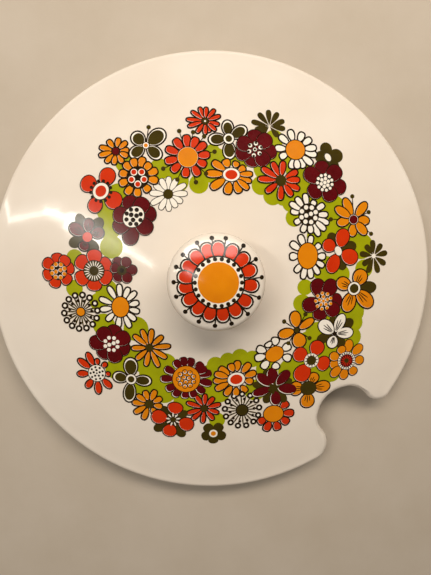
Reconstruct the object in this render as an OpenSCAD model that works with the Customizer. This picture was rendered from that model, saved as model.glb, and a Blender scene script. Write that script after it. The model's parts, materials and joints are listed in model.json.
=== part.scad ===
// Glazed stoneware pot lid with a ladle notch, a locating flange and a
// screwed-on mushroom knob. Millimetres. +Z is up, the origin is on the
// lid's axis at the lower edge of the flange, which the lid rests on.

/* [Lid] */
// Outer diameter of the lid
lid_d = 240; // [200:1:300]
// Thickness of the domed plate; the rim is rounded to half of it
wall = 5.5; // [4:0.5:8]
// Rise of the dome from the rim to the middle
dome_rise = 14; // [8:1:24]
// Overhang of the rim beyond the locating flange, which drops into the pot's mouth
rim_overhang = 18; // [16:1:30]
// Thickness of the flange
flange_t = 5; // [3.5:0.5:7]
// Depth of the flange below the rim's flat seat
flange_h = 9; // [5:1:14]
// Height of the pad above the dome that the knob stands on
pad_h = 0.8; // [0.5:0.1:2]
// Drop of the flat boss below the plate, around the screw hole
boss_h = 1.5; // [0.5:0.5:4]

/* [Ladle notch] */
// Direction of the notch, in degrees from +X towards +Y
notch_angle = -46; // [-70:1:-20]
// Radius of the notch's round end
notch_r = 16; // [10:1:20]
// Distance of the round end's centre inside the lid's edge
notch_inset = 13; // [8:1:16]
// Radius of the lip on the notch's right-hand side, seen from outside the rim
lip_right_r = 8; // [4:0.5:14]
// Radius of the lip on the other side
lip_left_r = 11; // [4:0.5:14]
// Gap left between the flange's ends and the notch
flange_gap = 3; // [1:0.5:8]

/* [Knob] */
// Diameter of the knob's head
head_d = 46; // [40:1:60]
// Height of the knob from its foot to its top
knob_h = 28; // [26:1:40]
// Radius of the head's rolled edge
shoulder_r = 4; // [3:0.5:6]
// Radius of curvature of the head's top
top_R = 45; // [40:1:120]
// Radius of the neck at its narrowest
neck_r = 11.5; // [9:0.5:13]
// Radius of the foot
foot_r = 15; // [13:0.5:16]

/* [Fixing] */
// Nominal diameter of the knob screw
screw_d = 5; // [4:0.5:6]
// Length of the screw under its head
screw_l = 20; // [18:1:26]
// Diameter of the screw's pan head
screw_head_d = 9.5; // [8:0.5:12]
// Height of the screw's head
screw_head_h = 3.3; // [2.5:0.1:4]
// Radial clearance of the screw in the threaded insert
thread_clear = 0.1; // [0.03:0.01:0.1]
// Radial clearance of the screw in the lid and washers
hole_clear = 0.3; // [0.2:0.1:0.6]
// Outer diameter of the threaded insert
insert_d = 8.5; // [8:0.5:10]
// Length of the threaded insert
insert_l = 14; // [10:1:16]
// Depth of the insert's mouth inside the knob's foot
insert_inset = 0.5; // [0:0.1:1]
// Thickness of the cement around and above the insert
cement_t = 1; // [0.6:0.1:1.5]
// Thickness of the gasket under the knob's foot
foot_gasket_t = 1; // [0.5:0.1:2]
// Thickness of the gasket under the lid
inner_gasket_t = 1.5; // [0.5:0.1:3]
// Diameter of the gasket under the lid
inner_gasket_d = 21; // [18:1:24]
// Thickness of the steel washer
washer_t = 1; // [0.8:0.1:1.6]
// Diameter of the steel washer
washer_d = 16; // [14:1:17]
// Thickness of the split spring washer
spring_t = 1.2; // [0.8:0.1:1.6]

/* [Printed transfers] */
// Thickness of a printed transfer
film_t = 0.2; // [0.1:0.1:0.4]
// Width of the wreath's band
wreath_w = 41; // [20:1:44]

/* [Hidden] */
$fn = 120;
big_fn = 1440;   // for the dome's large arcs
eps = 1;         // how far a cutter runs past what it cuts

// Lid: the rim is a full round whose lowest point is the seat's plane.
lid_r = lid_d / 2;
rim_r = wall / 2;
rim_c = lid_r - rim_r;
rim_z = flange_h + rim_r;
flange_r = lid_r - rim_overhang;
flange_in = flange_r - flange_t;
flange_edge = 1;   // chamfer on the flange's lower edge
flange_root = 3;   // slope where the flange meets the plate, inside
// The dome's arc has the radius that rises dome_rise from the rim's round to the axis,
// and touches that round from outside.
dome_R = (pow(rim_c, 2) + pow(dome_rise, 2)) / (2 * dome_rise) + rim_r;
dome_c = rim_z + dome_rise - (dome_R - rim_r);
dome_top = dome_c + dome_R;
pad_top = dome_top + pad_h;
boss_z = dome_top - wall - boss_h;
pad_r = foot_r + 1;                  // the knob's foot stays inside its pad
boss_r = inner_gasket_d / 2 + 2.5;   // and the inner gasket inside its boss

// Notch: each lip touches the notch's round end and just crosses the lid's edge.
notch_c = lid_r - notch_inset;
lip_step = 5;     // degrees between a lip's corners
lip_cross = 0.2;  // how far a lip's circle runs past the lid's edge
flange_end = asin((notch_r + flange_gap) / flange_in);   // angle from the notch's axis
wreath_out_r = notch_c - notch_r - 3;   // the print keeps clear of the notch
wreath_in_r = wreath_out_r - wreath_w;

// Knob heights, counted from its foot.
head_r = head_d / 2;
shoulder_c = head_r - shoulder_r;
top_drop = sqrt(pow(top_R - shoulder_r, 2) - pow(shoulder_c, 2));
shoulder_z = knob_h - top_R + top_drop;
top_c = knob_h - top_R;
neck_R = shoulder_c - neck_r;
neck_z = shoulder_z - shoulder_r - neck_R;
foot_edge = 1.2;   // the foot stays whole this high, however wide the head is
knob_z = pad_top + foot_gasket_t;
knob_print_r = shoulder_c - 0.5;   // the print stays on the head's top arc
foot_gasket_r = foot_r - 1;
insert_r = insert_d / 2;
socket_r = insert_r + cement_t;
socket_h = insert_inset + insert_l + cement_t;

// Fixing stack under the lid.
screw_r = screw_d / 2;
hole_r = screw_r + hole_clear;
washer_z = boss_z - inner_gasket_t - washer_t;
spring_z = washer_z - spring_t;
spring_out_r = hole_r + 1.8;   // a flat ring 1.8 wide
spring_cut = 0.8;              // width of its split
slot_w = 1.2;                  // driver slots in the screw's head
slot_l = 5.5;
slot_h = 1.8;
tip_chamfer = 0.6;             // at the screw's end
bore_end = 2;                  // solid end of the insert above its bore

// Height of an arc of radius R about the dome's centre, at radius r.
function arc_z(R, r) = dome_c + sqrt(R * R - r * r);
// Centre of a lip of radius q: its distance from the lid's axis, and its angle from the notch's.
function lip_c(q) = lid_r - q + lip_cross;
function lip_angle(q) =
    acos((pow(notch_c, 2) + pow(lip_c(q), 2) - pow(notch_r + q, 2)) / (2 * notch_c * lip_c(q)));
function polar(r, a) = [r * cos(a), r * sin(a)];

module dome_band(outer_R, inner_R, r0, r1) {
    intersection() {
        translate([0, dome_c]) difference() {
            circle(r = outer_R, $fn = big_fn);
            circle(r = inner_R, $fn = big_fn);
        }
        translate([r0, rim_z]) square([r1 - r0, dome_rise + wall]);
    }
}

// Half section of the lid in radius and height.
module lid_section() {
    cut_x = rim_c * 1.1;
    // plate between two parallel arcs, ending on the line through the rim's centre
    intersection() {
        translate([0, dome_c]) difference() {
            circle(r = dome_R, $fn = big_fn);
            circle(r = dome_R - wall, $fn = big_fn);
        }
        polygon([[0, dome_c], [cut_x, dome_c + (rim_z - dome_c) * 1.1], [0, dome_top + lid_r]]);
    }
    translate([rim_c, rim_z]) circle(r = rim_r);
    // flat seat between the flange and the rim
    polygon([[flange_in, flange_h], [rim_c, flange_h], [rim_c, rim_z],
             [flange_in, arc_z(dome_R - rim_r, flange_in)]]);
    // pads for the knob and for the screw
    translate([0, dome_top - rim_r]) square([pad_r, rim_r + pad_h]);
    translate([0, boss_z]) square([boss_r, boss_h + rim_r]);
}

module flange_section() {
    polygon([[flange_in + flange_edge, 0], [flange_r - flange_edge, 0],
             [flange_r, flange_edge], [flange_r, rim_z],
             [flange_in, arc_z(dome_R - rim_r, flange_in)],
             [flange_in - flange_root, arc_z(dome_R - rim_r, flange_in - flange_root)],
             [flange_in - flange_root, arc_z(dome_R - wall, flange_in - flange_root)],
             [flange_in, flange_h + flange_root / 2], [flange_in, flange_edge]]);
}

// Plan of what the notch takes out of the lid, with the notch's axis along +X.
module notch_plan() {
    right = polar(lip_c(lip_right_r), lip_angle(lip_right_r));
    left = polar(lip_c(lip_left_r), -lip_angle(lip_left_r));
    difference() {
        union() {
            translate([notch_c, 0]) circle(r = notch_r);
            polygon([[notch_c, 0], left, left * 1.25, right * 1.25, right]);
        }
        translate(right) rotate(lip_angle(lip_right_r)) lip(lip_right_r);
        translate(left) rotate(-lip_angle(lip_left_r)) lip(lip_left_r);
    }
}

// A lip is a fine polygon, because a true cylinder would only graze the round rim.
module lip(r) {
    polygon([for (a = [0:lip_step:359]) polar(r, a)]);
}

module lid() {
    color("#f3e9dc") difference() {
        union() {
            rotate_extrude($fn = 360) lid_section();
            // the flange stops short of the notch
            rotate(notch_angle + flange_end)
                rotate_extrude(angle = 360 - 2 * flange_end, $fn = 360) flange_section();
        }
        translate([0, 0, -eps]) cylinder(r = hole_r, h = pad_top + 2 * eps);
        rotate(notch_angle) translate([0, 0, -eps])
            linear_extrude(height = pad_top + 2 * eps) notch_plan();
    }
}

module knob_section() {
    difference() {
        union() {
            square([shoulder_c, shoulder_z]);
            translate([shoulder_c, shoulder_z]) circle(r = shoulder_r);
            intersection() {
                translate([0, top_c]) circle(r = top_R, $fn = big_fn / 4);
                polygon([[0, shoulder_z], [shoulder_c, shoulder_z],
                         [shoulder_c * 1.2, top_c + top_drop * 1.2], [0, knob_h + head_r]]);
            }
        }
        intersection() {
            translate([shoulder_c, neck_z]) circle(r = neck_R);
            translate([0, foot_edge]) square([head_r, knob_h]);
        }
        translate([foot_r, -eps]) square([head_r, neck_z + eps]);
    }
}

module knob() {
    color("#f3e9dc") translate([0, 0, knob_z]) difference() {
        rotate_extrude($fn = 180) knob_section();
        translate([0, 0, -eps]) cylinder(r = socket_r, h = socket_h + eps);
    }
}

module foot_gasket() {
    color("#3a3a38") translate([0, 0, pad_top]) ring(foot_gasket_r, hole_r, foot_gasket_t);
}

module knob_insert() {
    color("#c8a14a") translate([0, 0, knob_z + insert_inset]) difference() {
        cylinder(r = insert_r, h = insert_l);
        translate([0, 0, -eps]) cylinder(r = screw_r + thread_clear, h = insert_l - bore_end + eps);
        // groove that keys the insert into the cement
        translate([0, 0, insert_l / 2]) difference() {
            cylinder(r = insert_r + eps, h = 2 * cement_t, center = true);
            cylinder(r = insert_r - cement_t / 2, h = 2 * cement_t + eps, center = true);
        }
    }
}

module insert_cement() {
    color("#b9b2a4") translate([0, 0, knob_z + insert_inset]) {
        difference() {
            cylinder(r = socket_r, h = insert_l + cement_t);
            translate([0, 0, -eps]) cylinder(r = insert_r, h = insert_l + eps);
        }
        translate([0, 0, insert_l / 2 - cement_t]) ring(insert_r + cement_t / 2, insert_r - cement_t / 2, 2 * cement_t);
    }
}

module inner_gasket() {
    color("#8f8b84") translate([0, 0, boss_z - inner_gasket_t])
        ring(inner_gasket_d / 2, hole_r, inner_gasket_t);
}

module steel_washer() {
    color("silver") translate([0, 0, washer_z]) ring(washer_d / 2, hole_r, washer_t);
}

module spring_washer() {
    color("silver") translate([0, 0, spring_z]) difference() {
        ring(spring_out_r, hole_r, spring_t);
        translate([0, -spring_cut / 2, -eps]) cube([spring_out_r + eps, spring_cut, spring_t + 2 * eps]);
    }
}

module knob_screw() {
    color("silver") translate([0, 0, spring_z]) {
        difference() {
            translate([0, 0, -screw_head_h]) cylinder(r = screw_head_d / 2, h = screw_head_h);
            for (a = [0, 90]) rotate(a) translate([-slot_l / 2, -slot_w / 2, -screw_head_h - eps])
                cube([slot_l, slot_w, slot_h + eps]);
        }
        cylinder(r = screw_r, h = screw_l - tip_chamfer);
        translate([0, 0, screw_l - tip_chamfer])
            cylinder(r1 = screw_r, r2 = screw_r - tip_chamfer, h = tip_chamfer);
    }
}

module wreath_transfer() {
    color("#9aa318") rotate_extrude($fn = 360)
        dome_band(dome_R + film_t, dome_R, wreath_in_r, wreath_out_r);
}

module knob_transfer() {
    color("#dd8a10") translate([0, 0, knob_z]) rotate_extrude($fn = 180) intersection() {
        translate([0, top_c]) difference() {
            circle(r = top_R + film_t, $fn = big_fn / 4);
            circle(r = top_R, $fn = big_fn / 4);
        }
        translate([0, shoulder_z]) square([knob_print_r, knob_h]);
    }
}

module ring(outer, inner, h) {
    difference() {
        cylinder(r = outer, h = h);
        translate([0, 0, -eps]) cylinder(r = inner, h = h + 2 * eps);
    }
}

lid();
knob();
foot_gasket();
knob_insert();
insert_cement();
inner_gasket();
steel_washer();
spring_washer();
knob_screw();
wreath_transfer();
knob_transfer();
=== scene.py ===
# Glazed stoneware pot lid: glaze, knob, fixings and the printed flower wreath. Metres.
import bmesh
import bpy
import json
import math
from mathutils import Matrix, Vector

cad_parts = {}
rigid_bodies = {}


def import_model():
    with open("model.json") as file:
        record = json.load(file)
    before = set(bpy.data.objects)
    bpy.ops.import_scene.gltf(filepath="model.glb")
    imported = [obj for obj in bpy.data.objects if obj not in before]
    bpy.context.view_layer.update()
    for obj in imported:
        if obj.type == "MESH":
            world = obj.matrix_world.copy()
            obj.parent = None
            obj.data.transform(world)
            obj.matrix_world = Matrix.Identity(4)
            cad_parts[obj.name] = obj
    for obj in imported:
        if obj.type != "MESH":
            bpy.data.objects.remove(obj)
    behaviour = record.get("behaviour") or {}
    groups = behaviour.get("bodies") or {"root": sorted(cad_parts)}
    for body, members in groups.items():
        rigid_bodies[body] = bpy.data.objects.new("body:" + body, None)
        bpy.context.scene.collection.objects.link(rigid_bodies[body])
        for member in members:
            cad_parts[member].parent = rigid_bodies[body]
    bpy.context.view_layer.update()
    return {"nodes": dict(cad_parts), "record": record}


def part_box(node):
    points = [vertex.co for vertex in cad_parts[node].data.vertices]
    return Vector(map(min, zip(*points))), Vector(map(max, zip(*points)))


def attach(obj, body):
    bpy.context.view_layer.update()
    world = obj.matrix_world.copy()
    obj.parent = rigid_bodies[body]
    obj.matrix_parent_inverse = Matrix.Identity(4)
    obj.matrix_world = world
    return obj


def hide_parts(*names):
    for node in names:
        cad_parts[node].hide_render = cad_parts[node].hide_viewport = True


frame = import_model()
scene = bpy.context.scene
mm = 0.001
mounts = {m["name"]: m for m in frame["record"]["mounts"]}

# Places and sizes that the frame gives
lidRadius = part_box("lid")[1][0]
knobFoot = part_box("knob")[0][2]
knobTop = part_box("knob")[1][2]
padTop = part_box("foot_gasket")[0][2]
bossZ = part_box("inner_gasket")[1][2]
seatZ = mounts["rim_seat"]["pos_m"][2]
flangeRadius = mounts["flange_outside"]["dims"]["r_mm"] * mm

# Camera, straight above the lid and a little to one side
camera = {"place": (-0.0074, 0.0144, 0.2501), "aim": (0.0010, -0.0057, 0.0120),
          "focal": 27.05, "sensor": 36.0}


def addCamera():
    place = Vector(camera["place"])
    back = (place - Vector(camera["aim"])).normalized()
    right = Vector((0, 1, 0)).cross(back).normalized()
    turn = Matrix((right, back.cross(right), back)).transposed().to_4x4()
    bpy.ops.object.camera_add()
    made = bpy.context.object
    made.matrix_world = Matrix.Translation(place) @ turn
    made.data.lens = camera["focal"]
    made.data.sensor_width = camera["sensor"]
    made.data.clip_start = 10 * mm
    scene.camera = made


addCamera()
print("camera placed")


# Shader maths: a Wire is a socket that takes + - *, and a Recipe builds one material
class Wire:
    def __init__(self, recipe, socket):
        self.recipe = recipe
        self.socket = socket

    def maths(self, operation, first, second):
        return self.recipe.add("ShaderNodeMath", {"operation": operation}, {0: first, 1: second})

    def __add__(self, other):
        return self.maths("ADD", self, other)

    def __sub__(self, other):
        return self.maths("SUBTRACT", self, other)

    def __rsub__(self, other):
        return self.maths("SUBTRACT", other, self)

    def __mul__(self, other):
        return self.maths("MULTIPLY", self, other)

    __radd__ = __add__
    __rmul__ = __mul__


class Recipe:
    def __init__(self, name):
        self.material = bpy.data.materials.new(name)
        self.material.use_nodes = True
        self.nodes = self.material.node_tree.nodes
        self.links = self.material.node_tree.links
        self.nodes.clear()

    def add(self, kind, settings=None, inputs=None, output=0):
        node = self.nodes.new(kind)
        for key, value in (settings or {}).items():
            setattr(node, key, value)
        for key, value in (inputs or {}).items():
            if isinstance(value, Wire):
                self.links.new(value.socket, node.inputs[key])
            else:
                node.inputs[key].default_value = value
        return Wire(self, node.outputs[output]) if node.outputs else node

    def place(self):
        return self.add("ShaderNodeTexCoord", output="Object")

    def height(self):
        return self.add("ShaderNodeSeparateXYZ", inputs={0: self.place()}, output="Z")

    def noise(self, size, detail=2.0, rough=0.5):
        return self.add("ShaderNodeTexNoise", inputs={
            "Vector": self.place(), "Scale": 1 / size, "Detail": detail, "Roughness": rough})

    def ramp(self, value, low, high):
        return self.add("ShaderNodeMapRange", {"clamp": True}, {
            "Value": value, "From Min": low, "From Max": high})

    def mix(self, amount, first, second):
        paint = [c if isinstance(c, Wire) else (*c, 1.0) for c in (first, second)]
        return self.add("ShaderNodeMix", {"data_type": "RGBA"}, {
            0: amount, 6: paint[0], 7: paint[1]}, output=2)

    def bump(self, height, depth, strength=1.0):
        return self.add("ShaderNodeBump", inputs={
            "Height": height, "Distance": depth, "Strength": strength})

    def surface(self, **inputs):
        names = {k.replace("_", " "): v for k, v in inputs.items()}
        shader = self.add("ShaderNodeBsdfPrincipled", inputs=names)
        self.add("ShaderNodeOutputMaterial", inputs={"Surface": shader})
        return self.material


def paint(code):
    parts = [int(code[i:i + 2], 16) / 255 for i in (1, 3, 5)]
    return tuple(c / 12.92 if c <= 0.04045 else ((c + 0.055) / 1.055) ** 2.4 for c in parts)


# Glaze over stoneware, with bare clay on the flange's lower edge
glazeLook = {"white": "#f7eee3", "shade": "#f1e6d9", "clay": "#c9b596", "grain": "#a08767",
             "gloss": 0.09, "coat": 0.35, "bareShare": 0.11, "bareKnob": 0.4 * mm}


def glazeMaterial(name, bareBelow):
    r = Recipe(name)
    drift = r.ramp(r.noise(38 * mm, 3), 0.3, 0.75)
    white = r.mix(drift, paint(glazeLook["white"]), paint(glazeLook["shade"]))
    gloss = glazeLook["gloss"] + 0.05 * drift + 0.03 * r.noise(0.6 * mm)
    edge = r.height() + 0.5 * mm * r.noise(5 * mm, 3)
    clay = 1 - r.ramp(edge, bareBelow, bareBelow + 0.2 * mm)
    speck = r.ramp(r.noise(0.35 * mm, 3, 0.7), 0.45, 0.7)
    bisque = r.mix(speck, paint(glazeLook["clay"]), paint(glazeLook["grain"]))
    ripple = r.noise(16 * mm, 1) * 0.35 * mm + r.noise(0.3 * mm) * clay * 0.08 * mm
    return r.surface(Base_Color=r.mix(clay, white, bisque), Roughness=gloss + clay * 0.7,
                     Coat_Weight=glazeLook["coat"] * (1 - clay), Coat_Roughness=0.04,
                     Normal=r.bump(ripple, 1.0, 0.6), IOR=1.52)


lidGlaze = glazeMaterial("white_glaze_bare_foot", seatZ * glazeLook["bareShare"])
knobGlaze = glazeMaterial("white_glaze_knob", knobFoot + glazeLook["bareKnob"])

# Fired inks, each with a fine grain and its own tone
inkLook = {
    "line": {"tone": "#281800", "deep": "#1b1000"},
    "white": {"tone": "#fbf6ec", "deep": "#f6efe2"},
    "vermilion": {"tone": "#d93600", "deep": "#cc2e00"},
    "ochre": {"tone": "#e88c00", "deep": "#de8000"},
    "maroon": {"tone": "#660007", "deep": "#520005"},
    "olive": {"tone": "#453902", "deep": "#382d01"},
    "lime": {"tone": "#a8ae00", "deep": "#9aa000"},
}


def inkMaterial(name):
    look = inkLook[name]
    r = Recipe("ink_" + name)
    grain = r.ramp(r.noise(0.45 * mm, 3, 0.6), 0.35, 0.7)
    wash = r.ramp(r.noise(9 * mm, 2), 0.3, 0.7)
    body = r.mix(wash, paint(look["tone"]), paint(look["deep"]))
    pale = tuple(0.95 * c + 0.02 for c in paint(look["tone"]))
    tone = r.mix(0.3 * grain, body, pale)
    return r.surface(Base_Color=tone, Roughness=0.14 + 0.1 * grain, Coat_Weight=0.04 + 0.04 * wash,
                     Coat_Roughness=0.05, IOR=1.38,
                     Normal=r.bump(r.noise(0.45 * mm, 2), 0.012 * mm, 0.8))


inks = {name: inkMaterial(name) for name in inkLook}


# Metals, rubber and grout of the fixing
def metalMaterial(name, tone, dark, gloss, grain):
    r = Recipe(name)
    worn = r.ramp(r.noise(1.6 * mm, 4, 0.6), 0.35, 0.7)
    turned = r.add("ShaderNodeTexWave", {"bands_direction": "Z"}, {
        "Vector": r.place(), "Scale": 0.3 / grain, "Distortion": 2.0, "Detail": 2.0}, output=1)
    return r.surface(Base_Color=r.mix(worn, paint(tone), paint(dark)), Metallic=1.0,
                     Roughness=gloss + 0.12 * worn,
                     Normal=r.bump(turned, 0.01 * mm, 0.3))


def softMaterial(name, tone, dust, gloss, size, depth):
    r = Recipe(name)
    cloud = r.ramp(r.noise(size * 8, 3), 0.35, 0.75)
    grain = r.noise(size, 3, 0.6)
    return r.surface(Base_Color=r.mix(cloud * 0.6, paint(tone), paint(dust)),
                     Roughness=gloss + 0.1 * grain, Normal=r.bump(grain, depth, 0.6))


steel = metalMaterial("stainless_steel", "#c9c9c6", "#a9a8a4", 0.20, 0.4 * mm)
brass = metalMaterial("turned_brass", "#c9a04c", "#9c7430", 0.28, 0.3 * mm)
rubber = softMaterial("grey_silicone", "#45423e", "#6b665f", 0.55, 0.3 * mm, 0.02 * mm)
grout = softMaterial("set_grout", "#b9b2a4", "#9b9384", 0.85, 0.4 * mm, 0.08 * mm)
print("materials made")


# Mesh helpers
def startPiece(name):
    piece = bpy.context.object
    piece.name = name
    piece.data.name = name
    bpy.ops.object.mode_set(mode="EDIT")
    return piece, bmesh.from_edit_mesh(piece.data)


def finishPiece(piece, material, angle=40):
    bpy.ops.object.mode_set(mode="OBJECT")
    bpy.ops.object.select_all(action="DESELECT")
    piece.select_set(True)
    bpy.context.view_layer.objects.active = piece
    piece.data.materials.clear()
    piece.data.materials.append(material)
    bpy.ops.object.shade_smooth_by_angle(angle=math.radians(angle))


def arc(centre, radius, start, end, count):
    turns = [math.radians(start + (end - start) * i / count) for i in range(count + 1)]
    return [(centre[0] + radius * math.cos(t), centre[1] + radius * math.sin(t)) for t in turns]


# A closed half section (radius, height) is spun about the axis; an open one ends on the axis
def lathe(name, section, material, steps=128, closed=True, angle=40):
    bpy.ops.object.select_all(action="DESELECT")
    bpy.ops.mesh.primitive_circle_add(vertices=len(section))
    piece, bm = startPiece(name)
    bm.verts.ensure_lookup_table()
    for vert, (r, z) in zip(bm.verts, section):
        vert.co = (r, 0, z)
    if not closed:
        last = bm.edges.get((bm.verts[0], bm.verts[-1]))
        bmesh.ops.delete(bm, geom=[last], context="EDGES")
    bmesh.update_edit_mesh(piece.data)
    bpy.ops.mesh.select_all(action="SELECT")
    bpy.ops.mesh.spin(steps=steps, angle=math.tau, center=(0, 0, 0), axis=(0, 0, 1))
    bpy.ops.mesh.select_all(action="SELECT")
    bpy.ops.mesh.remove_doubles(threshold=0.001 * mm)
    bpy.ops.mesh.normals_make_consistent(inside=False)
    finishPiece(piece, material, angle)
    return piece


def roundedRing(inner, outer, low, high, soft):
    corners = ((outer - soft, low + soft, -90), (outer - soft, high - soft, 0),
               (inner + soft, high - soft, 90), (inner + soft, low + soft, 180))
    return [p for r, z, start in corners for p in arc((r, z), soft, start, start + 90, 5)]


# A shell grown ring by ring: each extruded ring of edges goes to its own places
def ringShell(name, rings, material, angle=40):
    bpy.ops.object.select_all(action="DESELECT")
    bpy.ops.mesh.primitive_circle_add(vertices=len(rings[0]))
    piece, bm = startPiece(name)
    spot = bm.verts.layers.int.new("spot")
    for i, vert in enumerate(bm.verts):
        vert[spot] = i
        vert.co = rings[0][i]
    bmesh.update_edit_mesh(piece.data)
    bpy.ops.mesh.select_all(action="SELECT")
    for ring in rings[1:]:
        bpy.ops.mesh.extrude_region_move()
        bm = bmesh.from_edit_mesh(piece.data)
        spot = bm.verts.layers.int["spot"]
        for vert in bm.verts:
            if vert.select:
                vert.co = ring[vert[spot]]
        bmesh.update_edit_mesh(piece.data)
    bpy.ops.mesh.select_all(action="SELECT")
    bpy.ops.mesh.remove_doubles(threshold=0.001 * mm)
    bpy.ops.mesh.normals_make_consistent(inside=False)
    finishPiece(piece, material, angle)
    return piece


# Lid: the plate follows an outline of rim, two lips and the notch, with a full round edge
lid = {
    "wall": 5.5 * mm, "padHeight": 0.8 * mm, "padRadius": 16 * mm, "padFillet": 1.2 * mm,
    "bossRadius": 13 * mm, "bossFillet": 1.5 * mm, "hole": 2.8 * mm,
    "notchAngle": -46, "notchRadius": 16 * mm, "notchInset": 13 * mm,
    "lipRight": 8 * mm, "lipLeft": 11 * mm, "innerRing": 60 * mm,
    "rimPoints": 380, "lipPoints": 20, "notchPoints": 60,
}
flange = {"thick": 5 * mm, "gap": 3 * mm, "soft": 1.2 * mm, "root": 1.6 * mm, "sunk": 0.6 * mm,
          "fadeIn": 3 * mm, "fadeOut": 0.5 * mm, "points": 300, "endPoints": 16}
rimRound = lid["wall"] / 2
rimCentre = lidRadius - rimRound
rimZ = seatZ + rimRound
domeTop = padTop - lid["padHeight"]
domeRise = domeTop - rimRound - rimZ
domeRadius = (rimCentre ** 2 + domeRise ** 2) / (2 * domeRise) + rimRound
domeCentre = domeTop - domeRadius
flangeInner = flangeRadius - flange["thick"]


def step(value, low, high):
    t = min(1, max(0, (value - low) / (high - low)))
    return t * t * (3 - 2 * t)


def topHeight(r):
    dome = domeCentre + math.sqrt(domeRadius ** 2 - r ** 2)
    onPad = 1 - step(r, lid["padRadius"] - 0.3 * mm, lid["padRadius"] + lid["padFillet"])
    return dome + (padTop - dome) * onPad


def bottomHeight(r):
    under = domeCentre + math.sqrt((domeRadius - lid["wall"]) ** 2 - r ** 2)
    onBoss = 1 - step(r, lid["bossRadius"], lid["bossRadius"] + lid["bossFillet"])
    onSeat = step(r, flangeInner - flange["fadeIn"], flangeInner + flange["fadeOut"])
    return under + (bossZ - under) * onBoss + (seatZ - under) * onSeat


def polar(radius, degrees):
    t = math.radians(degrees)
    return Vector((radius * math.cos(t), radius * math.sin(t)))


def direction(vector):
    return math.degrees(math.atan2(vector.y, vector.x))


notchCentre = lidRadius - lid["notchInset"]


def lipAngle(lip):
    out = lidRadius - lip
    gap = lid["notchRadius"] + lip
    return math.degrees(math.acos((notchCentre ** 2 + out ** 2 - gap ** 2) / (2 * notchCentre * out)))


# Outline moved inwards by inset, and for each of its points the matching inner direction
def planOutline(inset):
    right, left = lipAngle(lid["lipRight"]), lipAngle(lid["lipLeft"])
    notch = Vector((notchCentre, 0))
    rightCentre = polar(lidRadius - lid["lipRight"], right)
    leftCentre = polar(lidRadius - lid["lipLeft"], -left)
    toLeft, toRight = direction(leftCentre - notch), direction(rightCentre - notch)
    points = arc((0, 0), lidRadius - inset, right, 360 - left, lid["rimPoints"])
    points += arc(leftCentre, lid["lipLeft"] - inset, -left, toLeft + 180, lid["lipPoints"])[1:]
    points += arc(notch, lid["notchRadius"] + inset, toLeft, toRight - 360, lid["notchPoints"])[1:]
    points += arc(rightCentre, lid["lipRight"] - inset, toRight - 180, right, lid["lipPoints"])[1:-1]
    turn = Matrix.Rotation(math.radians(lid["notchAngle"]), 2)
    return [turn @ Vector(p) for p in points]


def innerDirections(count):
    right, left = lipAngle(lid["lipRight"]), lipAngle(lid["lipLeft"])
    rim = lid["rimPoints"]
    onRim = [right + (360 - left - right) * i / rim for i in range(rim + 1)]
    rest = count - rim - 1
    onNotch = [360 - left + (left + right) * (i + 1) / (rest + 1) for i in range(rest)]
    return [polar(1, a + lid["notchAngle"]) for a in onRim + onNotch]


def plateRings():
    soft = rimRound
    edge = [soft * (1 - math.cos(math.radians(a))) for a in range(0, 91, 9)]
    outlines = [planOutline(d) for d in edge]
    count = len(outlines[0])
    inward = innerDirections(count)

    def edgeRing(i, side):
        lift = math.sqrt(max(0, 1 - (1 - edge[i] / soft) ** 2))
        ring = []
        for p in outlines[i]:
            r = min(p.length, lidRadius - soft)
            high, low = topHeight(r), bottomHeight(r)
            ring.append((p.x, p.y, (high + low) / 2 + side * lift * (high - low) / 2))
        return ring

    def blendRing(part, height):
        ring = []
        for p, q in zip(outlines[-1], inward):
            at = p.lerp(q * lid["innerRing"], part)
            ring.append((at.x, at.y, height(at.length)))
        return ring

    def roundRing(radius, height):
        return [(q.x * radius, q.y * radius, height(radius)) for q in inward]

    span = rimCentre - lid["innerRing"]
    above = [i / 12 for i in range(1, 13)]
    below = [(rimCentre - r * mm) / span for r in
             (112, 106, 101, 98.5, 97.5, 97, 96.3, 95.5, 94.7, 94, 92, 87, 80, 70, 60)]
    padRadii = [50, 40, 30, 24, 20, 18.5, 17.5, 17.1, 16.8, 16.5, 16.2, 15.9, 15.6, 15, 12, 8, 5]
    bossRadii = [50, 40, 30, 22, 17, 15, 14.5, 14.2, 13.9, 13.6, 13.3, 13, 12.5, 10, 7, 5]
    rings = [edgeRing(i, 1) for i in range(len(edge))]
    rings += [blendRing(part, topHeight) for part in above]
    rings += [roundRing(r * mm, topHeight) for r in padRadii]
    rings += [roundRing(lid["hole"] + 0.3 * mm, topHeight)]
    rings += [roundRing(lid["hole"], lambda r: padTop - 0.3 * mm)]
    rings += [roundRing(lid["hole"], lambda r: bossZ + 0.3 * mm)]
    rings += [roundRing(lid["hole"] + 0.3 * mm, bottomHeight)]
    rings += [roundRing(r * mm, bottomHeight) for r in reversed(bossRadii)]
    rings += [blendRing(part, bottomHeight) for part in reversed(below)]
    rings += [edgeRing(i, -1) for i in reversed(range(len(edge)))]
    return rings


# Flange: a C of clay under the plate, with rounded ends and a soft root
def flangeOutline(inset):
    middle = flangeRadius - flange["thick"] / 2
    half = flange["thick"] / 2 - inset
    clear = lid["notchRadius"] + flange["gap"] + flange["thick"] / 2
    end = math.degrees(math.asin(clear / flangeInner))
    points = arc((0, 0), middle + half, end, 360 - end, flange["points"])
    points += arc(polar(middle, -end), half, -end, -end + 180, flange["endPoints"])[1:]
    points += arc((0, 0), middle - half, 360 - end, end, flange["points"])[1:]
    points += arc(polar(middle, end), half, end - 180, end, flange["endPoints"])[1:-1]
    turn = Matrix.Rotation(math.radians(lid["notchAngle"]), 2)
    return [turn @ Vector(p) for p in points]


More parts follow.
